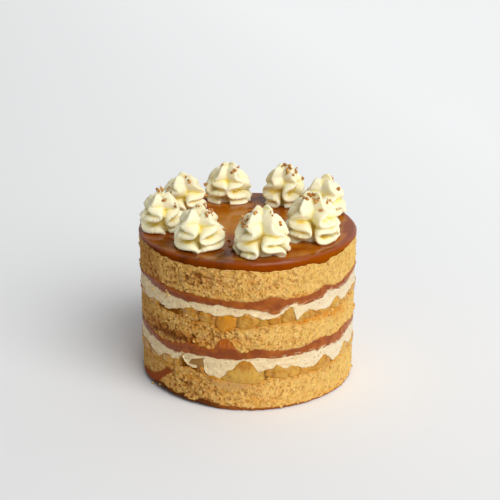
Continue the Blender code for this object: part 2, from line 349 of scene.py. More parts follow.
def boundaryLevels():
    # mean level, plus bumps h*exp(-(a/w)^2) and their copies round the back, plus a ragged edge;
    # each boundary stays above the one below it
    levels = [np.zeros_like(azimuths)]
    for count, (name, (mean, bumps)) in enumerate(cake["boundaries"].items()):
        level = np.full_like(azimuths, mean)
        for centre, height, halfWidth in bumps:
            for middle in (centre, 180 - cake["backSpread"] * centre):
                level += height * bell(angleAway(azimuths, middle), halfWidth)
        edge = onSide(azimuths, 0.0)
        rough = layeredNoise(edge, 6.0, 3, 40 + 7 * count)
        rough = rough + 1.2 * np.abs(smoothNoise(edge, 4.2, 90 + count)) - 0.35
        if name == "sponge_middle":
            # the knife tore this edge at the left
            rough += 2.6 * layeredNoise(edge, 2.4, 3, 60) * bell(angleAway(azimuths, -42), 22)
        level += cake["ragged"][name] * rough
        levels.append(np.maximum(level, levels[-1] + cake["thinnestLayer"]))
    levels.append(np.full_like(azimuths, cake["topLevel"]))
    return levels


boundaries = boundaryLevels()
meanLevels = [0.0] + [mean for mean, bumps in cake["boundaries"].values()] + [cake["topLevel"]]


def sideRadius(azimuth, level):
    # straight from base to top radius, with slow waves around
    turn = np.radians(azimuth)
    slope = (cake["radiusAtTop"] - cake["radiusAtBase"]) / cake["topLevel"]
    wave = np.sin(3 * turn + 0.7) + 0.7 * np.sin(5 * turn + 0.06 * level + 2.0)
    return cake["radiusAtBase"] + slope * level + cake["sideWave"] * wave


def ringsInward(edge, shares, middle, power=1):
    # copies of an edge drawn in towards the axis, their height going over to the middle's
    share = np.array(shares)[:, None]
    up = middle + (edge[:, 2] - middle) * share ** power
    return np.stack([edge[:, 0] * share, edge[:, 1] * share, up], -1)


def layerGrid(name, values, reliefOf):
    # a disc between two boundaries: rows run from the lower centre out to the side, up it and
    # back to the upper centre. On the side the radius is the body's, less a round of
    # r*(1-sqrt(1-0.8t^2)) at both edges, plus the layer's own relief.
    number = layerNames.index(name)
    share = np.linspace(0, 1, values["rows"])
    share = share - cake["rowsToEdges"] * np.sin(2 * np.pi * share) / (2 * np.pi)
    share = share[:, None] + 0 * azimuths
    low = boundaries[number] - (cake["tuck"] if number else -0.7 * along(sponge["baseLift"], azimuths))
    thickness = boundaries[number + 1] + cake["tuck"] - low
    level = low + thickness * share
    inward = np.clip(1 - np.minimum(share, 1 - share) * thickness / values["edgeRound"], 0, 1)
    rounding = values["edgeRound"] * (1 - np.sqrt(1 - 0.8 * inward ** 2))
    azimuth = angleAway(azimuths, 0) + 0 * level
    relief, attributes = reliefOf(name, onSide(azimuths, level), azimuth, level, share, thickness)
    side = onSide(azimuths, level, sideRadius(azimuths, level) - rounding + relief)
    # towards the middle the boundary's waves fade out, on the cake's underside at once
    shares = cake["capShares"]
    lowMean = meanLevels[number] + (0.5 * cake["gap"] if number else 0.0)
    lower = ringsInward(side[0], shares, lowMean, 1 if number else cake["footPower"])
    upper = ringsInward(side[-1], shares[::-1], meanLevels[number + 1] - 0.5 * cake["gap"])
    ends = ((len(shares), len(shares)), (0, 0))
    return np.concatenate([lower, side, upper]) * mm, {
        key: np.pad(numbers, ends, "edge") for key, numbers in attributes.items()}


def toTheRight(azimuth, low, high):
    # grows between two azimuths and fades out round the back
    return smoothStep(low, high, azimuth) * smoothStep(150, 110, azimuth)


def drawnUp(where, ratio):
    # points drawn upwards, so that a noise on them comes out flatter
    return where * np.array([1.0, 1.0, ratio])


# Sponge: torn open crumb
sponge = {
    "rows": 50,
    "edgeRound": 0.5,
    "crumbSize": 1.8,
    "crumbHeight": 0.55,
    "poreSize": 1.9,
    "poreDepth": 0.4,
    "poreShare": 0.25,
    "liftDepth": 3.2,
    "footRound": 0.7,
    "fibreHeight": 0.6,
    "waveHeight": 0.36,
    "hollowDepth": 1.6,
    "crackDepth": 0.25,
    "lightColour": (0.85, 0.56, 0.18),
    "colour": (0.69, 0.355, 0.075),
    "litRightColour": (0.69, 0.45, 0.135),
    "poreShade": (0.28, 0.080, 0.006),
    "stainColour": (0.66, 0.235, 0.012),
    # also the painted shade on the left side of the sponges
    "dampColour": (0.44, 0.165, 0.045),
    "wetColour": (0.59, 0.33, 0.115),
    "crustColour": (0.34, 0.10, 0.016),
    "skinColour": (0.29, 0.050, 0.013),
    "blackBrown": (0.115, 0.030, 0.006),
    # azimuth and level of: the lower edge where the base is lifted, the top of the dark crust,
    # and the upper and lower edge of the strip of baked skin at the left
    "baseLift": [
        (-180, 0.4), (-85, 0.8), (-76, 2.6), (-62, 3.6), (-50, 3.6), (-43, 2.6), (-38, 2.8), (-34, 1.5),
        (-30, 2.0), (-27, 2.6), (-21, 1.8), (-15, 1.2), (-8, 0.6), (180, 0.4),
    ],
    "crustTop": [
        (-180, 1.8), (-85, 2.5), (-76, 3), (-62, 4), (-58, 6), (-54, 7), (-50, 6.8), (-46, 5.6),
        (-43, 4.8), (-40, 4.6), (-37, 6.2), (-35, 5.4), (-33, 3), (-28.5, 3.2), (-26, 6), (-22, 5.6),
        (-17, 4.2), (-12, 3), (-8, 3.8), (0, 2.6), (30, 1.9), (180, 1.8),
    ],
    "skinTop": [
        (-80, 6), (-72.5, 7.7), (-67.4, 8.9), (-62.9, 9.9), (-59.3, 11), (-56.8, 12.9), (-55, 14.2),
        (-51.5, 16.7), (-50.2, 18.2), (-48.5, 19.9), (-46.7, 21), (-45.2, 21.2), (-43.9, 19.6), (-41, 19),
    ],
    "skinLow": [
        (-80, 2), (-72.5, 2), (-63.9, 2.5), (-59.3, 3.5), (-56, 6), (-54.3, 7.8), (-52.7, 9.6),
        (-51.7, 11.4), (-49.7, 13), (-47.9, 15), (-46.7, 17), (-44.1, 18.1), (-43, 19.5), (-41, 19.5),
    ],
    "roughness": 0.85,
    "specular": 0.04,
    "soft": (0.5, (1.0, 0.45, 0.12), 0.0014),
    "grain": (0.8, 2.6, 0.315),
    "bump": (0.5, 0.0005),
}

# Patches of a layer: azimuth, half width, level, half height, amount. The first table says where
# the crumb is torn open or, below zero, pressed smooth by the knife.
tornPlaces = {
    "sponge_bottom": [
        (-28, 20, 12, 9, 0.9), (-72, 14, 14, 12, -0.7), (50, 35, 12, 20, -0.35), (120, 25, 12, 9, 0.8),
    ],
    "sponge_middle": [
        (-38, 24, 50, 7, 1.3), (-12, 10, 56, 6, 0.5), (-70, 12, 55, 12, -0.6), (45, 30, 55, 20, -0.35),
        (150, 25, 52, 8, 1.0),
    ],
    "sponge_top": [
        (-30, 22, 92, 9, 0.8), (5, 14, 88, 6, 0.4), (50, 30, 92, 20, -0.3), (205, 25, 90, 8, 0.8),
    ],
}
# Crumb browned by the caramel, and broad patches at the left browned as painted shade
dampAndShadePlaces = {
    "sponge_bottom": [
        (-50, 22, 14, 9, 0.05),
    ],
    "sponge_middle": [
        (-56, 9, 48.5, 4.5, 0.8), (-36, 12, 48, 4, 0.8), (-62, 20, 54, 12, 0.13), (150, 25, 48, 4, 0.6),
    ],
    "sponge_top": [
        (-58, 9, 86, 3.5, 0.5), (-66, 8, 97, 5, 0.4), (-22, 9, 93, 4, 0.3), (-62, 22, 90, 14, 0.13),
    ],
}
# Ragged, nearly black-brown blots on the crumb
brownPlaces = {
    "sponge_middle": [
        (-68, 4, 45.6, 2.2, 0.9), (-58, 4, 45.5, 2.4, 0.9), (-47.5, 6, 48, 2.6, 1.1),
        (-39.5, 5, 47.6, 2.8, 1.1), (-31, 4, 48, 1.8, 0.7), (-62, 5, 52, 2.4, 0.6),
    ],
    "sponge_top": [
        (-59, 6, 88.5, 1.8, 0.8), (-42.5, 8, 85.4, 1.5, 0.9), (-31, 7, 92.6, 1.5, 0.7),
        (-24, 5, 96, 1.2, 0.5),
    ],
}
# Apple juice soaked into the crumb of any layer
juicePlaces = [
    (-13, 4.5, 61, 3.5, 1.3), (-27, 4, 59, 3, 0.7), (38, 16, 61.5, 2.5, 0.8), (57, 8, 59, 4, 0.6),
    (27, 8, 79.5, 3, 0.5), (-28, 10, 47.5, 2.5, 0.75), (-10, 7, 51, 3.5, 0.8), (2, 3, 93, 2, 0.5),
    (-15, 8, 14, 2.5, 0.5), (5, 10, 8, 2.0, 0.5), (45, 12, 4, 2, 0.4), (-33, 10, 20, 2.5, 0.6),
    (140, 20, 60, 3, 0.7), (230, 15, 58, 4, 0.6), (180, 25, 46, 3, 0.7), (-40, 4, 50, 2.2, 0.6),
    (-33, 3, 52, 1.8, 0.6),
]


def patches(places, azimuth, level):
    total = np.zeros_like(level)
    for middle, halfWidth, height, halfHeight, amount in places:
        total += amount * bell(angleAway(azimuth, middle), halfWidth) * bell(level - height, halfHeight)
    return total


def spongeRelief(name, where, azimuth, level, share, thickness):
    # granules are the cells of jittered points, hollows are where a noise of 6.5 mm is high,
    # cracks run along the edges of the cells
    torn = 1 + patches(tornPlaces[name], azimuth, level)
    torn = np.clip(torn + 0.25 * smoothNoise(where, 22.0, 5), 0.35, 2.2)
    opened = np.clip(torn - 0.9, 0, 1.2)
    warped = where + 0.8 * np.stack([smoothNoise(where, 2.2, seed) for seed in (61, 62, 63)], -1)
    near, far, number = cellPattern(warped, sponge["crumbSize"], 21)
    fineNear, fineFar, fineNumber = cellPattern(warped, 0.9, 22)
    crumb = sponge["crumbHeight"] * (0.7 * (0.55 - near) + 0.7 * (number - 0.5)) * (1 - 0.25 * opened)
    crumb += (0.22 * (0.5 - fineNear) + 0.16 * (fineNumber - 0.5)) * (0.7 + 0.3 * torn)
    crevice = smoothStep(0.24, 0.03, far - near)
    crevice *= smoothStep(0.1, 0.6, smoothNoise(where, 4.0, 65) + 0.35 * opened)
    poreNear, poreFar, poreNumber = cellPattern(warped, sponge["poreSize"], 23)
    chosen = poreNumber < sponge["poreShare"] * (0.5 + 0.5 * torn)
    pore = np.where(chosen, smoothStep(0.42, 0.16, poreNear), 0.0)
    hollow = layeredNoise(drawnUp(warped, 1.5), 6.5, 3, 31)
    hollow = smoothStep(0.1, 0.8, hollow - 0.1 + 0.25 * opened) * np.clip(0.12 + opened, 0, 1.2)
    out = crumb - sponge["crackDepth"] * crevice
    out -= sponge["poreDepth"] * pore + sponge["hollowDepth"] * hollow
    out += sponge["waveHeight"] * layeredNoise(where, 9.0, 3, 33) - 0.25
    fibre = layeredNoise(drawnUp(warped, 1.3), 2.8, 3, 34)
    out += sponge["fibreHeight"] * fibre * (0.35 + 0.8 * opened)
    # Painted shade: the pores, cracks, hollows and low fibres are darkened in colour
    shadedPit = 0.8 * pore + 0.35 * crevice + 0.8 * hollow + (0.3 + 0.5 * opened) * smoothStep(0.2, 0.75, -fibre)
    shadedPit = np.clip(shadedPit, 0, 1)
    loose = 0.55 + 0.35 * opened + 0.3 * smoothStep(10, -60, azimuth)
    loose = np.clip(loose + 0.3 * smoothNoise(where, 9.0, 49), 0.2, 1)
    tone = 0.55 + 0.6 * (number - 0.5) + 0.5 * (fineNumber - 0.5) + 0.45 * smoothNoise(where, 6.0, 35)
    # Painted light: on the lit right side the crumb is paler and less saturated
    litRightSide = toTheRight(azimuth, 5, 50)
    litRightSide = litRightSide * (0.6 + 0.5 * smoothNoise(where, 5.0, 48))
    juice = patches(juicePlaces, azimuth, level) * (0.7 + 1.1 * layeredNoise(where, 4.0, 3, 36))
    # the caramel below stains the crumb brown, the apple above makes it golden; towards the left side the
    # crumb is also browned as painted shade
    wander = 0.8 * layeredNoise(where, 3.0, 2, 46)
    dampAndShade = 0.75 * smoothStep(1.7, 0.0, thickness * share + wander) * (name != "sponge_bottom")
    dampAndShade += smoothStep(-40, -72, azimuth) * 0.4 + 0.2 * opened
    dampAndShade += patches(dampAndShadePlaces[name], azimuth, level)
    dampAndShade = dampAndShade * (1 + 0.7 * smoothNoise(where, 2.4, 47))
    if name != "sponge_top":
        juice += 0.5 * smoothStep(2.6, 0.2, thickness * (1 - share) + wander)
    gel = smoothStep(0.75, 1.1, juice)
    wet = patches([(-8, 11, 18.5, 4.2, 1.0)], azimuth, level) * (name == "sponge_bottom")
    wet = smoothStep(0.35, 0.8, wet + 0.25 * layeredNoise(where, 5.0, 2, 50) * (wet > 0.05))
    gel = np.maximum(gel, 0.8 * wet)
    out = out * (1 - 0.75 * gel)
    shadedPit = shadedPit * (1 - gel)
    crust = np.zeros_like(level)
    browned = patches(brownPlaces.get(name, []), azimuth, level)
    dark = 0.75 * smoothStep(0.25, 0.95, browned * (1 + 1.1 * layeredNoise(where, 2.6, 3, 51)))
    skin = crust
    if name == "sponge_bottom":
        rough = 0.7 * layeredNoise(where, 3.0, 3, 37)
        lift = along(sponge["baseLift"], azimuth)
        crust = smoothStep(0.4, -0.4, level - along(sponge["crustTop"], azimuth) - rough)
        # Painted shade: the crust is darkened where the base is lifted and its underside shows
        dark = np.maximum(dark, smoothStep(0.3, 2.0, lift) * crust)
        dark = np.maximum(dark, 0.7 * patches([(-45.6, 2.4, 20.2, 1.1, 1.0)], azimuth, level))
        wandering = azimuth + 0.6 * smoothNoise(where, 3.0, 39)
        skin = smoothStep(-1.3, 0.7, along(sponge["skinTop"], wandering) - level + 0.9 * rough)
        skin = skin * smoothStep(-0.5, 0.3, level - along(sponge["skinLow"], wandering) + 0.4 * rough)
        skin = skin * smoothStep(-41, -42.5, azimuth) * smoothStep(-79, -76, azimuth)
        out = out * (1 - 0.7 * skin) + 0.2 * skin
        out -= sponge["footRound"] * smoothStep(2.0, 0.0, level) ** 2
        out -= sponge["liftDepth"] * smoothStep(lift + 0.7, lift - 1.6, level) * smoothStep(0.5, 3.0, lift)
        shadedPit = shadedPit * (1 - skin)
        tone = tone * (1 - skin)
    return out, {"shadedPit": shadedPit, "tone": np.clip(tone, 0, 1), "juice": np.clip(juice, 0, 1),
                 "dampAndShade": np.clip(dampAndShade, 0, 1), "crust": crust, "skin": skin, "dark": dark,
                 "loose": loose * (1 - skin) * (1 - 0.8 * gel), "litRightSide": litRightSide, "wet": wet}


def spongeMaterial():
    material, tree, shader, grain = grainedMaterial("openCrumb", sponge)
    tone = unevenTone(tree, grain, 1.6)
    # Painted light: fewer painted pores on the lit right side
    openness = mathNode(tree, "SUBTRACT", "loose", times(tree, "litRightSide", 0.3), True)
    # Painted shade: pores and pits get a dark brown colour
    pores = times(tree, grain["pores"], openness)
    colour = paintOver(
        tree, colourMix(tree, tone, sponge["colour"], sponge["lightColour"]),
        ("litRightSide", 1, sponge["litRightColour"]), ("dampAndShade", 0.9, sponge["dampColour"]),
        ("juice", 1, sponge["stainColour"]),
        (mathNode(tree, "MAXIMUM", "shadedPit", pores), 0.85, sponge["poreShade"]),
        ("wet", 0.8, sponge["wetColour"]), ("crust", 1, sponge["crustColour"]),
        ("skin", 0.92, sponge["skinColour"]), ("dark", 0.85, sponge["blackBrown"]))
    rough = mathNode(tree, "SUBTRACT", sponge["roughness"], times(tree, "juice", 0.5))
    height = mathNode(tree, "SUBTRACT", grain["height"], pores)
    feedShader(tree, shader, sponge, height, {"Base Color": colour, "Roughness": rough})
    return material


def makeSponges():
    material = spongeMaterial()
    for name in layerNames:
        if name.startswith("sponge"):
            piece = closedSurface("crumb_" + name[7:], *layerGrid(name, sponge, spongeRelief))
            finishPiece(piece, material, name)
    print("sponges made")


# Apple: diced and cooked pieces pressed side by side in their gel
apple = {
    "rows": 26,
    "edgeRound": 0.7,
    "dome": 1.6,
    "seamDepth": 0.4,
    "faceIn": 0.4,
    "gapDepth": 0.6,
    # the pieces round the front of each band: azimuth where a piece starts, how dark the seam
    # there is, how pale and how orange the piece is
    "pieces": {
        "apple_lower": [
            (-76, 0.2, 0.5, 0.0), (-65, 0.3, 0.4, 0.1), (-52, 0.4, 0.45, 0.15), (-42.5, 0.6, 0.4, 0.1),
            (-37.5, 0.5, 0.5, 0.0), (-34, 0.9, 0.1, 0.3), (-27, 0.7, 0.0, 0.1), (-22.5, 0.3, 0.4, 0.4),
            (-13, 0.2, 0.8, 0.0), (8.6, 0.6, 0.4, 0.1), (12, 0.3, 0.55, 0.15), (27, 0.1, 0.35, 0.3),
            (36, 0.15, 0.5, 0.15), (50.5, 0.2, 0.85, 0.0), (57, 0.2, 0.85, 0.0), (68, 0.2, 0.6, 0.0),
        ],
        "apple_upper": [
            (-76, 0.2, 0.4, 0.1), (-64, 0.2, 0.5, 0.1), (-50, 0.3, 0.2, 0.1), (-35.5, 0.9, 0.4, 0.0),
            (-26, 0.9, 0.3, 0.0), (-17.2, 1.0, 0.1, 1.0), (-5.8, 0.4, 0.5, 0.15), (5, 0.2, 0.5, 0.1),
            (11, 0.2, 0.25, 0.3), (16.5, 0.2, 0.55, 0.0), (24.8, 0.2, 0.6, 0.0), (29, 0.15, 0.55, 0.0),
            (36.5, 0.2, 0.35, 0.3), (49.5, 0.2, 0.75, 0.0), (57, 0.2, 0.6, 0.1), (67, 0.2, 0.6, 0.0),
        ],
    },
    "amber": (0.39, 0.148, 0.004),
    "pale": (0.62, 0.370, 0.062),
    "orange": (0.66, 0.262, 0.002),
    "seam": (0.26, 0.082, 0.006),
    "gap": (0.20, 0.068, 0.006),
    "roughness": 0.24,
    "specular": 0.42,
    "soft": (0.55, (1.0, 0.5, 0.1), 0.003),
    "grain": (1.6, 1.6, 0.2),
    "bump": (0.4, 0.0006),
}


def appleRelief(name, where, azimuth, level, share, thickness):
    # the ring of pieces: the front ones and their copies round the back. A piece bulges by
    # 1-|x|^3 across its width x from -1 to 1; the seam follows a wandering line.
    upper = name == "apple_upper"
    table = np.array(apple["pieces"][name])
    back = table.copy()
    back[:, 0] = 180 - cake["backSpread"] * table[:, 0]
    table = np.concatenate([table, back])
    table[:, 0] %= 360
    table = table[np.argsort(table[:, 0])]
    starts, dark, pale, orange = table.T
    wander = (azimuth + 1.7 * layeredNoise(where, 6.0, 3, 71)) % 360
    index = np.searchsorted(starts, wander) - 1
    following = (index + 1) % len(starts)
    width = (starts[following] - starts[index]) % 360
    place = ((wander - starts[index]) % 360) / width
    fromSeam = np.minimum(place, 1 - place) * width * 1.32
    seam = smoothStep(1.0, 0.0, fromSeam) * np.where(place < 0.5, dark[index], dark[following])
    out = apple["dome"] * (0.6 - np.abs(2 * place - 1) ** 3 - 0.5 * (2 * share - 1) ** 4)
    out -= apple["seamDepth"] * seam + apple["faceIn"]
    out += 0.5 * layeredNoise(where, 6.0, 3, 74)
    near, far, number = cellPattern(where + 0.9 * smoothNoise(where, 3.0, 72)[..., None], 5.5, 24)
    soft = smoothStep(0.0, 0.5, far - near)
    out += 0.35 * soft * (number - 0.2)
    tone = pale[index] + 0.5 * layeredNoise(where, 5.0, 3, 75) + 0.22 * (number - 0.5) * soft
    tone += (0.12 + 0.22 * smoothStep(0.5, 0.0, share)) * (1 - upper)
    golden = bell(angleAway(azimuth, -1), 7) * smoothStep(29, 33, level) * (1 - upper)
    tone -= 0.7 * golden
    glow = orange[index] * (0.85 + 0.5 * layeredNoise(where, 4.0, 2, 77)) + 0.25 * golden + 0.12
    glow = glow + 0.45 * smoothStep(0.35, 0.8, layeredNoise(where, 6.0, 2, 78))
    # Painted shade: the gaps and holes between the pieces are coloured dark
    gap = smoothStep(9.5, 6.5, np.abs(angleAway(azimuth, -45))) * upper
    gap = np.maximum(gap, smoothStep(5.6, 4.4, np.abs(angleAway(azimuth, -31.6))) * (1 - upper))
    shadedHole = 1.2 * patches([(9.8, 0.9, 25.3, 0.8, 1.0), (-30.8, 2.6, 27.3, 0.6, 1.0)], azimuth, level)
    gap = np.clip(np.maximum(gap, shadedHole), 0, 1)
    out -= apple["gapDepth"] * gap
    return out, {"seam": seam, "tone": np.clip(tone, 0, 1), "orange": np.clip(glow, 0, 1), "gap": gap}


def appleMaterial():
    material, tree, shader, grain = grainedMaterial("cookedApple", apple)
    colour = paintOver(
        tree, colourMix(tree, unevenTone(tree, grain, 1.6), apple["amber"], apple["pale"]),
        ("orange", 0.85, apple["orange"]), ("seam", 0.45, apple["seam"]), ("gap", 1, apple["gap"]))
    gloss = mathNode(tree, "SUBTRACT", apple["specular"], times(tree, "gap", apple["specular"]))
    feedShader(tree, shader, apple, grain["height"], {"Base Color": colour, "Specular IOR Level": gloss})
    return material


# Whipped filling: smeared by the knife, with fine holes
filling = {
    "rows": 24,
    "edgeRound": 0.4,
    "smearHeight": 0.45,
    "holeSize": 2.3,
    "holeDepth": 0.7,
    "colour": (0.88, 0.70, 0.415),
    "litRightWhite": (0.77, 0.645, 0.435),
    "shade": (0.72, 0.49, 0.225),
    "stain": (0.40, 0.16, 0.04),
    "pieceColour": (0.35, 0.165, 0.022),
    "shadedHole": (0.30, 0.14, 0.045),
    "roughness": 0.55,
    "specular": 0.5,
    "soft": (0.2, (1.0, 0.6, 0.3), 0.0015),
    "grain": (0.7, 1.1, 0.16),
    "bump": (0.3, 0.0004),
}


def fillingRelief(name, where, azimuth, level, share, thickness):
    drawn = drawnUp(where, 2.2)
    out = filling["smearHeight"] * layeredNoise(drawn, 8.0, 3, 81) - 0.2
    near, far, number = cellPattern(where, filling["holeSize"], 25)
    left = smoothStep(10, -45, azimuth)
    # Painted shade: the holes are coloured dark
    shadedHole = np.where(number < 0.14 + 0.4 * left, smoothStep(0.3, 0.12, near), 0.0)
    fineNear, fineFar, fineNumber = cellPattern(where, 0.9, 26)
    fineHole = np.where(fineNumber < 0.12 + 0.12 * left, 0.7 * smoothStep(0.42, 0.2, fineNear), 0)
    shadedHole = np.maximum(shadedHole, fineHole)
    out -= filling["holeDepth"] * shadedHole
    out += 0.5 * smoothStep(2.5, 0.0, share * thickness) * (0.4 + layeredNoise(where, 4.0, 2, 83))
    tone = 0.3 + 0.45 * layeredNoise(drawn, 6.0, 3, 84)
    # Painted light: less of the shade colour towards the lit right
    tone -= 0.05 * left + 0.25 * smoothStep(15, 60, azimuth)
    out += 0.5 * np.abs(smoothNoise(where, 3.0, 85)) * left
    # streaks of caramel along the upper edge
    streak = layeredNoise(drawnUp(where, 3.0), 4.0, 3, 86)
    stain = smoothStep(1.5, 0.1, (1 - share) * thickness) * smoothStep(0.05, 0.4, streak)
    # one piece of apple shows through the lower band: a block with a slanting top whose right
    # end reaches down to the other pieces. The four edges are straight lines.
    across = angleAway(azimuth, -32.6) + 0.35 * smoothNoise(where, 3.0, 87)
    inside = np.minimum(across - 0.56 * (level - 30.2), 9.5 - across) * 1.32
    inside = np.minimum(inside, 34.4 + 0.33 * (across - 2.6) - level)
    inside = np.minimum(inside, np.maximum(level - 29.9, 1.32 * (across - 5.2)))
    window = smoothStep(-0.1, 0.45, inside)
    out += 0.5 * smoothStep(0, 3, inside) - 0.6 * window
    # Painted light: the lit right side gets a greyer, less yellow colour
    litRightWhite = toTheRight(azimuth, 5, 50)
    return out, {"shadedHole": shadedHole * (1 - window), "tone": np.clip(tone, 0, 1), "window": window,
                 "stain": stain * (1 - window), "litRightWhite": litRightWhite}


def fillingMaterial():
    material, tree, shader, grain = grainedMaterial("whippedFilling", filling)
    # Painted shade in the holes and specks
    holes = mathNode(tree, "MAXIMUM", "shadedHole", times(tree, grain["specks"], 0.5))
    colour = paintOver(
        tree, colourMix(tree, "litRightWhite", filling["colour"], filling["litRightWhite"]),
        ("tone", 1, filling["shade"]), ("stain", 0.8, filling["stain"]),
        (holes, 0.8, filling["shadedHole"]), ("window", 1, filling["pieceColour"]))
    rough = mathNode(tree, "SUBTRACT", filling["roughness"], times(tree, "window", 0.25))
    feedShader(tree, shader, filling, grain["height"], {"Base Color": colour, "Roughness": rough})
    return material


# Thick caramel between cream and sponge: soft, half glossy, smeared with a little cream
caramel = {
    "rows": 20,
    "edgeRound": 0.45,
    "bulge": 0.25,
    "waveHeight": 0.34,
    "pitDepth": 0.6,
    "colour": (0.42, 0.108, 0.005),
    "deep": (0.25, 0.048, 0.002),
    "smear": (0.76, 0.55, 0.30),
    "soaked": (0.49, 0.125, 0.006),
    "roughness": 0.36,
    "specular": 0.3,
    "soft": (0.15, (1.0, 0.4, 0.1), 0.0015),
    "grain": (1.2, 1.5, 0.06),
    "bump": (0.25, 0.001),
}


def caramelRelief(name, where, azimuth, level, share, thickness):
    # soaked: where the caramel has run up into the torn crumb it is lumpy like the crumb
    drawn = drawnUp(where, 1.8)
    out = caramel["bulge"] * np.sin(np.pi * share) - 0.1
    out += caramel["waveHeight"] * layeredNoise(drawn, 6.0, 4, 91)
    near, far, number = cellPattern(where, 2.2, 27)
    left = smoothStep(0, -40, azimuth) * smoothStep(-100, -70, azimuth)
    shadedPit = np.where(number < 0.14 + 0.16 * left, smoothStep(0.38, 0.12, near), 0.0)
    out -= caramel["pitDepth"] * shadedPit
    out += 0.5 * left * smoothStep(0.45, 0.9, share) * layeredNoise(where, 2.2, 2, 95)
    soaked = smoothStep(45.0, 47.0, level) * (level < 60)
    soaked = np.maximum(soaked, 0.5 * left * smoothStep(0.5, 0.9, share))
    out += soaked * (1.1 * (0.5 - near) + 0.9 * (number - 0.5))
    low = smoothStep(3.0, 0.5, share * thickness)
    smear = low * smoothStep(0.0, 0.3, layeredNoise(drawnUp(where, 3.5), 4.5, 3, 93))
    smear = smear * toTheRight(azimuth, 0, 28)
    right = smoothStep(5, 40, azimuth)
    tone = 0.5 + 0.7 * layeredNoise(where, 6.0, 3, 94) + 0.4 * left + 0.1 * right
    # Painted shade: the soaked lumps are darker towards their edges, and the pits darker (added below)
    tone += soaked * (1.6 * (near - 0.45) + 0.9 * (number - 0.5))
    tone += 0.5 * patches([(-9, 10, 43, 6, 1.0), (-33, 12, 78, 3, 0.5)], azimuth, level)
    return out, {"smear": smear, "tone": np.clip(tone + shadedPit, 0, 1), "soaked": soaked}


def caramelMaterial():
    material, tree, shader, grain = grainedMaterial("softCaramel", caramel)
    colour = paintOver(
        tree, colourMix(tree, "tone", caramel["colour"], caramel["deep"]),
        ("smear", 0.9, caramel["smear"]), ("soaked", 0.8, caramel["soaked"]),
        (grain["specks"], 0.6, caramel["deep"]))
    feedShader(tree, shader, caramel, grain["clouds"], {"Base Color": colour})
    return material


def makeFillings():
    kinds = {
        "apple": (apple, appleRelief, appleMaterial()),
        "cream": (filling, fillingRelief, fillingMaterial()),
        "caramel": (caramel, caramelRelief, caramelMaterial()),
    }
    for name in layerNames[:-1]:
        kind = name.split("_")[0]
        if kind in kinds:
            values, relief, material = kinds[kind]
            piece = closedSurface("filling_" + name, *layerGrid(name, values, relief))
            finishPiece(piece, material, name)
    print("fillings made")


# Poured glaze: flat, glossy, with a rounded rim that hangs a little over the sponge
glaze = {
    "rimRound": 2.6,
    "rimRows": 22,
    "topRows": 44,
    "bulge": 0.4,
    "topWave": 0.16,
    "sideWave": 0.14,
    "underShares": (0.0, 0.6, 0.93, 0.985),
    # lighter where the glaze lies thinly, with painted highlights and reflections; darker where it lies
    # thick, with painted dark reflections: x, y, half width, half depth, amount
    "thinAndLitPlaces": [(-6, 8, 16, 26, 2.0)],
    "thickAndReflectionPlaces": [
        (-62, -38, 14, 12, 0.4), (-34, -64, 16, 12, 0.5), (-12, -58, 9, 18, 0.6), (4, -22, 9, 14, 0.35),
        (10, 58, 16, 14, 0.5),
    ],
    "colour": (0.37, 0.080, 0.0006),
    "thinAndLit": (0.52, 0.185, 0.006),
    "deep": (0.21, 0.029, 0.0003),
    "dark": (0.055, 0.012, 0.002),
    "roughness": 0.13,
    "specular": 0.22,
    "edgeGloss": 1.1,
    "soft": (0.12, (1.0, 0.35, 0.05), 0.002),
    "grain": (2.5, 3.0, 0.05),
    "bump": (0.06, 0.0008),
}


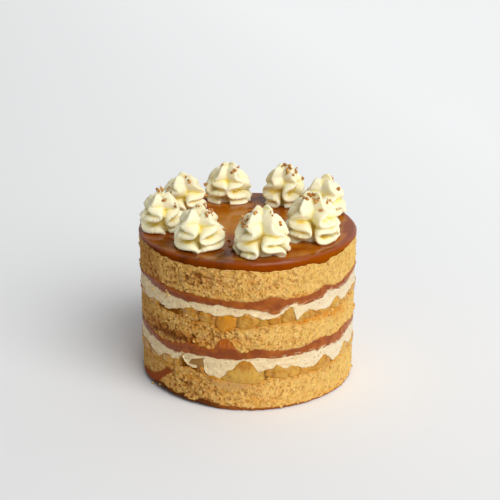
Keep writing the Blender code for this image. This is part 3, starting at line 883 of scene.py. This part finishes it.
def glazeGrid():
    # rim: over a quarter turn t the height grows as sin(t)^0.9 and the edge is drawn in by
    # 1-cos(t)^0.75; the flat top carries slow ripples that fade at the rim
    topLevel = cake["topLevel"]
    low = boundaries[-2] + 0.5 * cake["gap"]
    rise = np.linspace(0, 1, glaze["rimRows"])[:, None]
    angle = rise * np.pi / 2
    up = np.sin(angle) ** 0.9
    level = low + (topLevel - low) * up
    where = onSide(azimuths, level)
    radius = sideRadius(azimuths, level) + glaze["bulge"] * np.sin(np.pi * np.clip(up * 1.1, 0, 1))
    radius -= glaze["rimRound"] * (1 - np.cos(angle) ** 0.75)
    radius += glaze["sideWave"] * layeredNoise(where, 11.0, 2, 101) * (1 - up ** 4)
    radius += 0.3 * smoothNoise(where, 4.0, 105) * (1 - rise) ** 2 - 0.35 * (1 - rise) ** 6
    side = onSide(azimuths, level, radius)
    shares = np.linspace(1, 0, glaze["topRows"] + 1)[1:]
    top = ringsInward(side[-1], shares, topLevel)
    ripples = layeredNoise(top, 15.0, 3, 102) * smoothStep(0.0, 0.12, 1 - shares)[:, None]
    top[..., 2] += glaze["topWave"] * ripples
    under = ringsInward(side[0], glaze["underShares"], meanLevels[-2] + 0.5 * cake["gap"])
    grid = np.concatenate([under, side, top])
    x, y, z = np.moveaxis(grid, -1, 0)
    fromAxis = np.hypot(x, y)
    # Light patches: thinner glaze, and painted highlights and reflections
    thinAndLit = smoothStep(0.1, 0.75, 0.35 + layeredNoise(grid, 26.0, 3, 103)) * (fromAxis < 70)
    for across, back, halfWidth, halfDepth, amount in glaze["thinAndLitPlaces"]:
        thinAndLit += amount * bell(x - across, halfWidth) * bell(y - back, halfDepth)
    rim = smoothStep(topLevel - 0.6, topLevel - 2.2, z)
    # Dark patches: thicker glaze, and painted dark reflections
    dark = np.zeros_like(rim)
    for across, back, halfWidth, halfDepth, amount in glaze["thickAndReflectionPlaces"]:
        dark += amount * bell(x - across, halfWidth) * bell(y - back, halfDepth)
    dark *= 1 + 0.8 * layeredNoise(grid, 12.0, 3, 104)
    azimuth = np.degrees(np.arctan2(x, -y))
    # Painted shade on the left of the rim, painted light on its right
    dark += 0.42 * rim * smoothStep(-22, -62, azimuth) * smoothStep(-120, -95, azimuth)
    thinAndLit += 0.35 * rim * smoothStep(15, 65, azimuth)
    edge = bell(topLevel - z - 0.4, 0.28) * (0.6 + 0.8 * smoothNoise(grid, 9.0, 106)) * (fromAxis > 71)
    return grid * mm, {"thinAndLit": np.clip(thinAndLit, 0, 1), "rim": rim,
                       "dark": np.clip(dark, 0, 1), "edge": np.clip(edge, 0, 1)}


def glazeMaterial():
    material, tree, shader, grain = grainedMaterial("pouredGlaze", glaze)
    colour = paintOver(
        tree, colourMix(tree, grain["clouds"], glaze["deep"], glaze["colour"]),
        ("thinAndLit", 0.6, glaze["thinAndLit"]), ("rim", 0.3, glaze["deep"]), ("dark", 1, glaze["dark"]))
    gloss = mathNode(tree, "SUBTRACT", glaze["specular"], times(tree, "rim", glaze["specular"]))
    gloss = mathNode(tree, "ADD", gloss, times(tree, "edge", glaze["edgeGloss"]))
    feedShader(tree, shader, glaze, grain["height"], {"Base Color": colour, "Specular IOR Level": gloss})
    return material


def makeGlaze():
    finishPiece(closedSurface("glaze_top", *glazeGrid()), glazeMaterial(), "caramel_glaze")
    print("glaze made")


# Piped buttercream: star nozzle, upright, so each rosette is a few fins round a hollow. A fin's
# outer edge sways from side to side low down, where it lies in folds, and ends in a leaf above.
piping = {
    "voxel": 0.45,
    "smoothing": 6,
    "pathSteps": 190,
    "edgeSteps": 26,
    "outline": [
        (0, 0.9), (0.1, 1.0), (0.25, 0.98), (0.4, 0.97), (0.5, 0.94), (0.6, 0.89), (0.7, 0.83),
        (0.8, 0.75), (0.9, 0.64), (1.0, 0.5),
    ],
    "core": [
        (0, 0.0), (0, 0.55), (0.06, 0.48), (0.15, 0.38), (0.3, 0.33), (0.5, 0.3), (0.6, 0.24),
        (0.66, 0.0),
    ],
    "swayWidth": 0.44,
    "swayLift": 1.3,
    "swayLength": 12.0,
    "swayTop": 0.56,
    "foldThickness": 2.45,
    "leafEdge": 1.1,
    "leafThickness": 6.6,
    "cleftSpread": 6,
    "standsAt": 106.5,
    # x, y, width, height, azimuth of the open cleft, fins
    "places": {
        "front_left": (-32.3, -41.5, 36, 28.5, 4, 5),
        "front_middle": (9.5, -53, 39, 31.5, -3, 6),
        "right": (43.6, -24.5, 39.5, 32, 0, 6),
        "right_back": (54.5, 27, 33, 27.5, -20, 5),
        "back_right": (26.5, 50.5, 34, 29.5, -8, 6),
        "back_middle": (-14.5, 59.5, 36, 28, -4, 6),
        "left_back": (-46.5, 38, 33, 26.5, 10, 5),
        "left": (-59.5, -6.5, 32, 27.5, 12, 5),
    },
    "colour": (0.93, 0.85, 0.575),
    "foldShade": (0.96, 0.82, 0.30),
    "deepFoldShade": (0.92, 0.66, 0.10),
    "roughness": 0.42,
    "specular": 0.5,
    "soft": (0.4, (1.0, 0.8, 0.35), 0.0035),
    "grain": (1.6, 1.0, 0.05),
    "bump": (0.08, 0.0006),
}


def finGrid(width, height, fins, azimuth, reach, tall, chance):
    # path up the outer edge: height share h, sideways place A*sin(p), height minus B*sin(2p),
    # where p grows by a full turn each swayLength. The blade runs from near the axis out to the
    # path; low down it is a band as thick as it is at its edge, above it is a wedge.
    share = np.linspace(0, 1, piping["pathSteps"])
    radius = 0.5 * width * np.interp(share, *np.array(piping["outline"]).T) * reach
    fading = smoothStep(piping["swayTop"] + 0.08, piping["swayTop"] - 0.2, share)
    swaying = smoothStep(piping["swayTop"] + 0.26, piping["swayTop"] - 0.2, share)
    length = piping["swayLength"] * chance.uniform(0.88, 1.15)
    phase = 2 * np.pi * share * height / length + chance.uniform(0, 2 * np.pi)
    phase = phase + 0.5 * np.sin(0.9 * phase + chance.uniform(0, 6))
    widest = piping["swayWidth"] * chance.uniform(0.88, 1.08) * math.pi * width / fins
    hand = 1 if chance.uniform() < 0.5 else -1
    lean = chance.uniform(-1.5, 1.5)
    aside = hand * widest * swaying * np.sin(phase) + lean * smoothStep(0.5, 1.0, share)
    tall = height * tall * chance.uniform(0.95, 1.0)
    up = tall * share - piping["swayLift"] * fading * np.sin(2 * phase)
    alongAside = np.gradient(aside, share)
    alongUp = np.gradient(up, share)
    turn = np.linspace(0, 2 * np.pi, piping["edgeSteps"], endpoint=False)
    across = 0.5 - 0.5 * np.cos(turn)
    inner = radius * np.interp(share, [0, 0.5, 0.75, 0.9, 1.0], [0.2, 0.1, 0.3, 0.5, 0.6])
    band = piping["foldThickness"] * (1 - np.abs(2 * across - 1) ** 3.5) ** 0.6
    taper = np.interp(share, [0, 0.6, 0.75, 0.9, 1.0], [1.0, 1.0, 0.85, 0.6, 0.25])[:, None]
    wedge = piping["leafEdge"] + piping["leafThickness"] * (1 - across)
    wedge *= (1 - (2 * across - 1) ** 8) ** 0.5
    thick = band * fading[:, None] + wedge * taper * (1 - fading[:, None])
    thick = thick * np.sign(np.sin(turn))
    moved = across ** 1.35
    sideways = aside[:, None] * moved
    normalAside = alongUp[:, None] + 0 * moved
    normalUp = -alongAside[:, None] * moved
    size = np.hypot(normalAside, normalUp) + 1e-6
    out = np.sqrt(np.maximum(radius ** 2 - aside ** 2, 1))[:, None]
    ragged = 0.45 * np.sin(19 * phase + 3 * np.sin(5 * phase))
    ragged *= smoothStep(0.2, 0.6, np.sin(1.3 * phase + lean))
    out = inner[:, None] + (out + ragged[:, None] * across ** 4 - inner[:, None]) * across
    droop = 0.9 * fading[:, None] * across ** 3
    sideways = sideways + thick * normalAside / size
    high = up[:, None] + thick * normalUp / size - droop
    angle = math.radians(azimuth - 90)
    x = out * math.cos(angle) - sideways * math.sin(angle)
    y = out * math.sin(angle) + sideways * math.cos(angle)
    return np.stack([x, y, np.maximum(high, 0.0)], -1)


def coreGrid(width, height):
    profile = np.array(piping["core"])
    turn = np.linspace(0, 2 * np.pi, 40, endpoint=False)
    radius = 0.5 * width * profile[:, 1:]
    return np.stack([radius * np.cos(turn), radius * np.sin(turn), height * profile[:, :1] + 0 * turn], -1)


def joinAndRemesh(name, grids):
    parts = [closedSurface(name + "_part", grid * mm) for grid in grids]
    with bpy.context.temp_override(active_object=parts[0], selected_editable_objects=parts):
        bpy.ops.object.join()
    whole = parts[0]
    remesh = whole.modifiers.new("remesh", "REMESH")
    remesh.mode = "VOXEL"
    remesh.voxel_size = piping["voxel"] * mm
    smooth = whole.modifiers.new("smooth", "SMOOTH")
    smooth.iterations = piping["smoothing"]
    smooth.factor = 0.5
    mesh = bpy.data.meshes.new_from_object(whole.evaluated_get(bpy.context.evaluated_depsgraph_get()))
    bpy.data.objects.remove(whole)
    mesh.name = name
    mesh.shade_smooth()
    return newObject(name, mesh)


def foldDepth(points, normals, cellSize=0.9, reach=3):
    # how far the middle of the surface nearby lies in front of a vertex, along its normal:
    # surface points are counted in cells, the cells' sums are spread over their neighbours
    cell = np.floor((points - points.min(0)) / cellSize).astype(int) + reach
    shape = cell.max(0) + reach + 1
    flat = np.ravel_multi_index(cell.T, shape)
    sums = [np.bincount(flat, weights, np.prod(shape)).reshape(shape) for weights in (None, *points.T)]
    for axis in range(3):
        sums = [sum(np.roll(total, step, axis) for step in range(-reach, reach + 1)) for total in sums]
    count, x, y, z = [total.ravel()[flat] for total in sums]
    middle = np.stack([x, y, z], -1) / count[:, None]
    return np.sum((middle - points) * normals, -1)


def buttercreamMaterial():
    material, tree, shader, grain = grainedMaterial("pipedButtercream", piping)
    # Painted shade: the folds are painted yellower and darker the deeper they lie
    deep = times(tree, mathNode(tree, "SUBTRACT", "depth", 0.68, True), 2.0, True)
    colour = colourMix(tree, times(tree, "depth", 1.4, True), piping["colour"], piping["foldShade"])
    colour = colourMix(tree, deep, colour, piping["deepFoldShade"])
    feedShader(tree, shader, piping, grain["height"], {"Base Color": colour})
    return material


def makeRosettes():
    material = buttercreamMaterial()
    made = []
    for number, (name, (x, y, width, height, cleft, fins)) in enumerate(piping["places"].items()):
        chance = np.random.RandomState(300 + number)
        grids = [coreGrid(width, height)]
        for fin in range(fins):
            around = (fin + 0.5) * 360 / fins
            azimuth = cleft + around + piping["cleftSpread"] * math.sin(math.radians(around))
            azimuth += chance.uniform(-4, 4)
            tall = 1 - 0.13 * math.sin(math.radians(around)) ** 2 * (around > 50 and around < 310)
            grids.append(finGrid(width, height, fins, azimuth, chance.uniform(0.96, 1.02), tall, chance))
        moved = np.array([x, y, piping["standsAt"]])
        piece = joinAndRemesh("piped_" + name, [grid + moved for grid in grids])
        points = readVectors(piece.data.vertices, "co") / mm
        normals = readVectors(piece.data.vertex_normals, "vector")
        # how deep each point lies in a fold, for the painted shade
        depth = smoothStep(0.0, 1.3, foldDepth(points, normals))
        depth = np.maximum(depth, 0.75 * smoothStep(0.6, 3.2, foldDepth(points, normals, 1.8)))
        storeNumbers(piece.data, "depth", depth)
        finishPiece(piece, material, "rosette_" + name)
        made.append(piece)
    print("rosettes made:", sum(len(piece.data.polygons) for piece in made), "faces")
    return made


# Caramel crumbs sprinkled over the cream, and loose cake crumbs on the side
crumbs = {
    "radius": (0.65, 1.35),
    "stretch": 0.35,
    # Places on the upright plane through the axis: sideways and up in millimetres, as seen from
    # the camera; each crumb lies where that line of sight meets the cream
    "seen": [
        (-29.2, 115.3), (-27.1, 117.5), (-25.0, 118.9), (-23.6, 116.7), (-21.5, 118.2), (-27.1, 115.3),
        (-28.5, 119.5), (-26.2, 120.4), (-24.6, 121.4), (-22.5, 120.0), (-25.6, 117.2), (-20.5, 119.5),
        (-27.5, 121.6), (-24.3, 120.4), (-22.2, 116.0), (-19.5, 112.3), (-16.8, 102.7), (-34.0, 120.4),
        (-3.4, 111.6), (-1.3, 109.4), (-2.7, 106.4), (0.1, 110.8), (-0.6, 105.7), (-4.1, 108.6),
        (4.7, 114.9), (16.1, 115.3), (22.4, 107.9), (38.9, 127.0), (41.0, 125.5), (42.4, 129.2),
        (43.8, 127.7), (45.8, 128.4), (46.6, 125.5), (47.3, 123.3), (48.7, 124.8), (55.0, 122.6),
        (50.9, 117.5), (-17.8, 150.1), (-6.1, 150.1), (-7.5, 147.9), (-8.9, 146.5), (-10.2, 145.1),
        (-22.6, 148.6), (-58.7, 134.2), (-61.6, 131.3), (-53.3, 129.9), (-57.6, 124.8), (-50.7, 120.4),
        (-59.5, 132.1), (-55.3, 132.8), (29.0, 147.9), (27.6, 145.1), (26.9, 146.5), (37.3, 140.7),
        (44.2, 142.9), (42.2, 140.0), (31.1, 142.9), (33.1, 145.1), (57.3, 142.9), (62.4, 132.8),
        (67.3, 129.9), (-42.7, 141.5), (-40.0, 137.9), (-29.7, 128.4),
    ],
    "seenOnGlaze": [
        (2.9, 87.7), (1.5, 118.9), (4.9, 119.7), (2.9, 116.0), (-10.5, 87.0), (-8.4, 93.0), (-11.9, 90.7),
        (-6.3, 87.7), (-13.3, 94.5), (-42.9, 88.5), (5.6, 121.1),
    ],
    # single torn bits on the side: azimuth, level, radius
    "clinging": [
        (-46, 78.6, 1.0), (-45.2, 77.2, 0.9), (-44.6, 75.8, 0.9), (-45.6, 74.4, 0.8), (-49.5, 76.2, 0.8),
        (-49, 74.9, 0.6), (-58, 74.6, 0.9), (-63, 73.9, 0.7), (-32.5, 65.6, 1.0), (-30.5, 64.6, 1.1),
        (-34, 64.3, 0.9), (-31.5, 63.2, 1.2), (-29, 63.6, 0.8), (-35.5, 35.4, 0.8), (-36.2, 37.3, 0.7),
        (82, 50.5, 1.5), (81, 48.6, 1.3), (83, 47.0, 1.0), (79, 84, 1.3), (-86, 82, 1.3),
        (-84, 80.4, 1.0), (-80, 30, 0.9), (76, 21, 0.9), (36.6, 33.6, 0.7), (84, 88, 1.0), (-82, 97, 0.9),
    ],
    "looseCount": 170,
    "looseRadius": (0.5, 1.1),
    "grainsEach": 3,
    "grainSpread": 1.1,
    "unseenPerRosette": 5,
    "light": (0.72, 0.35, 0.07),
    "dark": (0.22, 0.06, 0.008),
    "caramelFinish": {"roughness": 0.4, "specular": 0.5, "soft": (0.2, (1.0, 0.4, 0.1), 0.001),
                      "grain": (0.6, 0.8, 0.4), "bump": (0.6, 0.0003)},
    "looseFinish": {"roughness": 0.85, "specular": 0.2, "grain": (0.6, 0.9, 0.3), "bump": (0.6, 0.0004)},
}


def nuggetTemplate():
    # a sphere of 42 points and 80 faces
    made = bpy.data.meshes.new("template")
    shape = bmesh.new()
    bmesh.ops.create_icosphere(shape, subdivisions=2, radius=1)
    shape.to_mesh(made)
    shape.free()
    points = readVectors(made.vertices, "co")
    faces = np.empty(len(made.loops), np.int32)
    made.loops.foreach_get("vertex_index", faces)
    bpy.data.meshes.remove(made)
    return points, faces.reshape(-1, 3)


def nuggets(name, centres, radii, tones, seed):
    # every nugget is the template, stretched, turned and roughened in its own way
    chance = np.random.RandomState(seed)
    points, faces = nuggetTemplate()
    count = len(centres)
    axes = chance.normal(size=(count, 3, 3))
    turned = np.linalg.qr(axes)[0]
    stretch = 1 + crumbs["stretch"] * chance.uniform(-1, 1, size=(count, 1, 3))
    shift = chance.uniform(-40, 40, size=(count, 1, 3))
    rough = 1 + 0.5 * layeredNoise(points[None] * 1.3 + shift, 1.0, 2, 111)
    shaped = points[None] * rough[..., None] * stretch
    placed = np.einsum("nij,nkj->nki", turned, shaped) * np.array(radii)[:, None, None]
    placed += np.array(centres)[:, None]
    allFaces = faces[None] + (np.arange(count) * len(points))[:, None, None]
    handed = np.linalg.det(turned) < 0
    allFaces[handed] = allFaces[handed][:, :, ::-1]
    mesh = bpy.data.meshes.new(name)
    mesh.from_pydata(placed.reshape(-1, 3) * mm, [], allFaces.reshape(-1, 3))
    mesh.shade_smooth()
    tone = np.repeat(tones, len(points)) + 0.3 * (rough - 1).ravel()
    storeNumbers(mesh, "tone", tone)
    return newObject(name, mesh)


def surfaceTree(pieces):
    corners = []
    faces = []
    start = 0
    for piece in pieces:
        points = readVectors(piece.data.vertices, "co") / mm
        corners.extend(points.tolist())
        faces.extend([[start + index for index in face.vertices] for face in piece.data.polygons])
        start += len(points)
    return BVHTree.FromPolygons(corners, faces)


def crumbMaterial():
    finish = crumbs["caramelFinish"]
    material, tree, shader, grain = grainedMaterial("caramelCrumb", finish)
    colour = colourMix(tree, unevenTone(tree, grain, 1.0), crumbs["dark"], crumbs["light"])
    feedShader(tree, shader, finish, grain["height"], {"Base Color": colour})
    return material


def makeLooseCrumbs():
    # torn bits of cake that stand out of the side, most of them along the edges of the layers
    chance = np.random.RandomState(51)
    count = crumbs["looseCount"]
    azimuth = chance.uniform(0, 360, count)
    column = (azimuth / 360 * cake["columns"]).astype(int)
    spots = np.stack([boundaries[index] for index in (0, 1, 4, 5, 8, 9)])
    which = chance.randint(0, len(spots), count)
    inward = np.where(which % 2 == 0, 1, -1) * chance.gamma(2.0, 1.3, count)
    level = np.maximum(spots[which, column] + inward, 1.0)
    radii = chance.uniform(*crumbs["looseRadius"], count)
    placed = np.array(crumbs["clinging"])
    azimuth = np.append(azimuth, placed[:, 0])
    level = np.append(level, placed[:, 1])
    radii = np.append(radii, placed[:, 2])
    centres = onSide(azimuth, level, 1.0)
    centres[:, :2] *= (sideRadius(azimuth, level) - 0.25)[:, None]
    piece = nuggets("crumbs_cake", centres, radii, chance.uniform(0.1, 1.0, len(radii)), 52)
    finishPiece(piece, looseMaterial())
    print("loose crumbs made:", len(radii))


def looseMaterial():
    finish = crumbs["looseFinish"]
    material, tree, shader, grain = grainedMaterial("looseCrumb", finish)
    tone = mathNode(tree, "SUBTRACT", "tone", times(tree, grain["specks"], 0.6))
    colour = colourMix(tree, tone, sponge["dampColour"], sponge["lightColour"])
    feedShader(tree, shader, finish, grain["height"], {"Base Color": colour})
    return material


def makeCrumbs(rosettePieces):
    chance = np.random.RandomState(41)
    cream = surfaceTree(rosettePieces)
    camera = Vector(studio["cameraPlace"]) / mm
    centres = []
    radii = []
    tones = []

    def scatter(hit, normal, tone):
        for grain in range(crumbs["grainsEach"]):
            radius = chance.uniform(*crumbs["radius"]) * (1.0 if grain == 0 else 0.7)
            spread = Vector(chance.normal(size=3)) * crumbs["grainSpread"] * (0 if grain == 0 else 1)
            spread -= normal * spread.dot(normal)
            centres.append(np.array(hit + spread + normal * 0.35 * radius))
            radii.append(radius)
            tones.append(tone + chance.uniform(-0.35, 0.35))

    for aside, up in crumbs["seen"]:
        sight = Vector((aside, 0, up)) - camera
        hit, normal, index, distance = cream.ray_cast(camera, sight.normalized())
        if hit is not None:
            scatter(hit, normal, 0.65)
    for aside, up in crumbs["seenOnGlaze"]:
        sight = Vector((aside, 0, up)) - camera
        hit = camera + sight * (cake["topLevel"] - camera.z) / sight.z
        scatter(hit, Vector((0, 0, 1)), 0.2)
    for x, y, width, height, cleft, fins in piping["places"].values():
        for number in range(crumbs["unseenPerRosette"]):
            across = chance.normal() * 0.22 * width
            back = 0.25 * width + chance.normal() * 0.15 * width
            start = Vector((x + across, y + back, 180))
            hit, normal, index, distance = cream.ray_cast(start, Vector((0, 0, -1)))
            if hit is not None:
                scatter(hit, normal, 0.6)
    piece = nuggets("crumbs_caramel", centres, radii, tones, 42)
    finishPiece(piece, crumbMaterial())
    print("caramel crumbs made:", len(centres))


# Camera and light, as in a plain pale studio
studio = {
    "lens": 89.28,
    "cameraPlace": (0.00146, -0.8190, 0.3929),
    "pitchDown": 20.436,
    "floorColour": (0.89, 0.89, 0.883),
    "floorPaintedLight": (0.3, 0.08, 0),
    "floorRange": (0.85, 1.13),
    "floorFinish": {"roughness": 0.7, "specular": 0.2},
    "floorReach": 6.0,
    "airColour": (0.95, 0.97, 1.0),
    "airStrength": 0.30,
    "airBrighter": (0.22, 0.16, 0.12),
    "airLeast": 0.06,
    "keyPlace": (0.8, -1.02, 1.13),
    "keyAngle": 50.0,
    "keyStrength": 2.6,
}


def aimAt(thing, target):
    thing.rotation_euler = (Vector(target) - thing.location).to_track_quat("-Z", "Y").to_euler()


def towards(tree, space, direction):
    # how far a place lies towards a direction: their dot product
    place = addNode(tree, "ShaderNodeTexCoord").outputs[space]
    product = addNode(tree, "ShaderNodeVectorMath", {0: place, 1: direction}, operation="DOT_PRODUCT")
    return product.outputs["Value"]


def makeStudio():
    scene = bpy.context.scene
    scene.view_settings.view_transform = "Standard"
    camera = newObject("camera", bpy.data.cameras.new("camera"))
    camera.data.lens = studio["lens"]
    camera.data.sensor_width = 36
    camera.data.clip_end = 50
    camera.location = studio["cameraPlace"]
    camera.rotation_euler = (math.radians(90 - studio["pitchDown"]), 0, 0)
    scene.camera = camera

    world = bpy.data.worlds.new("studioAir")
    world.use_nodes = True
    tree = world.node_tree
    air = tree.nodes["Background"]
    air.inputs["Color"].default_value = (*studio["airColour"], 1)
    # brighter to the right, the back and above, as beside a big soft lamp
    brighter = towards(tree, "Generated", studio["airBrighter"])
    strength = mathNode(tree, "ADD", brighter, studio["airStrength"])
    tree.links.new(mathNode(tree, "MAXIMUM", strength, studio["airLeast"]), air.inputs["Strength"])
    scene.world = world

    key = newObject("keyLight", bpy.data.lights.new("keyLight", "SUN"))
    key.data.angle = math.radians(studio["keyAngle"])
    key.data.energy = studio["keyStrength"]
    key.location = studio["keyPlace"]
    aimAt(key, (0, 0, 0))

    mesh = bpy.data.meshes.new("floor")
    reach = studio["floorReach"]
    corners = [(-reach, -reach, 0), (reach, -reach, 0), (reach, reach, 0), (-reach, reach, 0)]
    mesh.from_pydata(corners, [], [(0, 1, 2, 3)])
    floor = newObject("floor", mesh)
    material, tree, shader = newMaterial("paleFloor", studio["floorFinish"])
    # Painted light: the floor is painted brighter to the right and the back, within floorRange
    brighter = mathNode(tree, "ADD", towards(tree, "Object", studio["floorPaintedLight"]), 1.0)
    least, most = studio["floorRange"]
    clipped = addNode(tree, "ShaderNodeClamp", {"Value": brighter, "Min": least, "Max": most})
    values = {0: studio["floorColour"], "Scale": clipped.outputs["Result"]}
    scaled = addNode(tree, "ShaderNodeVectorMath", values, operation="SCALE")
    tree.links.new(scaled.outputs["Vector"], shader.inputs["Base Color"])
    mesh.materials.append(material)
    print("studio made")


makeStudio()
makeSponges()
makeFillings()
makeGlaze()
makeCrumbs(makeRosettes())
makeLooseCrumbs()
